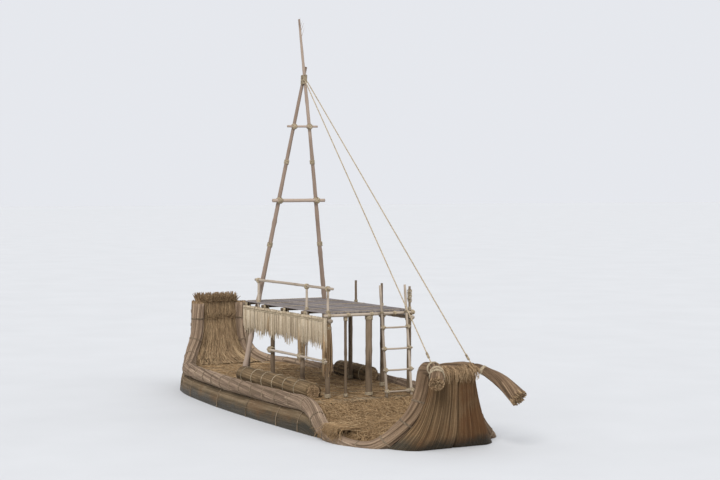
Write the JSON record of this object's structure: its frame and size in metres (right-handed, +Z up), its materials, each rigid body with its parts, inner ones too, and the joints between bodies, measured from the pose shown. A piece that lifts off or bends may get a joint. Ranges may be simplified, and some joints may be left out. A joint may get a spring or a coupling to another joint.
{
  "type": "two-storey reed boat",
  "caption": "Reed-bundle boat afloat with upturned bow and stern, gunwale rolls, a lower deck with benches, an upper deck on posts with a ladder, and a two-legged mast with stays.",
  "frame": {"origin": "on the centreline at the waterline, halfway along the hull", "axes": "+X to the bow along the hull, +Y to port, +Z up"},
  "size_m": [11.4574, 3.2532, 8.2212],
  "materials": {
    "hull_reeds": "weathered totora reeds, wet and dark at the waterline",
    "wet_reeds": "soaked totora reeds",
    "gunwale_reeds": "pinkish grey-brown bound reeds",
    "cut_reeds": "light tan cut reed ends",
    "deck_reeds": "trodden reed mat",
    "straw": "loose orange-tan straw",
    "bench_reeds": "bound reeds",
    "weathered_poles": "weathered round poles with bark left in places",
    "bleached_poles": "bleached grey-pale round poles",
    "grey_mat": "weathered grey reed mat",
    "fringe_reeds": "pale cream-green hanging reeds",
    "mast_poles": "grey-brown round poles",
    "rope": "twisted grass rope"
  },
  "bodies": {
    "root": {"hull_bundle_starboard": "hull_reeds", "hull_bundle_port": "hull_reeds", "heart_bundle": "wet_reeds", "gunwale_roll_starboard": "gunwale_reeds", "gunwale_roll_port": "gunwale_reeds", "bow_horn_starboard": "gunwale_reeds", "bow_horn_port": "gunwale_reeds", "stern_tips_starboard": "cut_reeds", "stern_tips_port": "cut_reeds", "deck_crossbeams": "weathered_poles", "lower_deck_mat": "deck_reeds", "foredeck_straw": "straw", "bench_bundle_starboard": "bench_reeds", "bench_bundle_port": "bench_reeds", "side_posts_starboard": "weathered_poles", "side_posts_port": "weathered_poles", "front_post_centre": "weathered_poles", "front_post_thin": "weathered_poles", "upper_side_beam_starboard": "bleached_poles", "upper_side_beam_port": "bleached_poles", "upper_deck_joists": "weathered_poles", "upper_deck_front_pole": "bleached_poles", "upper_deck_mat": "grey_mat", "reed_fringe": "fringe_reeds", "rail_posts_starboard": "bleached_poles", "rail_posts_port": "weathered_poles", "top_rail_starboard": "bleached_poles", "mid_rail_starboard": "bleached_poles", "ladder_stiles": "bleached_poles", "ladder_rungs": "bleached_poles", "mast_leg_starboard": "mast_poles", "mast_leg_port": "mast_poles", "mast_crossbar_lower": "mast_poles", "mast_crossbar_upper": "mast_poles", "masthead_lashing": "rope", "forestay_starboard": "rope", "forestay_port": "rope"}
  },
  "joints": []
}
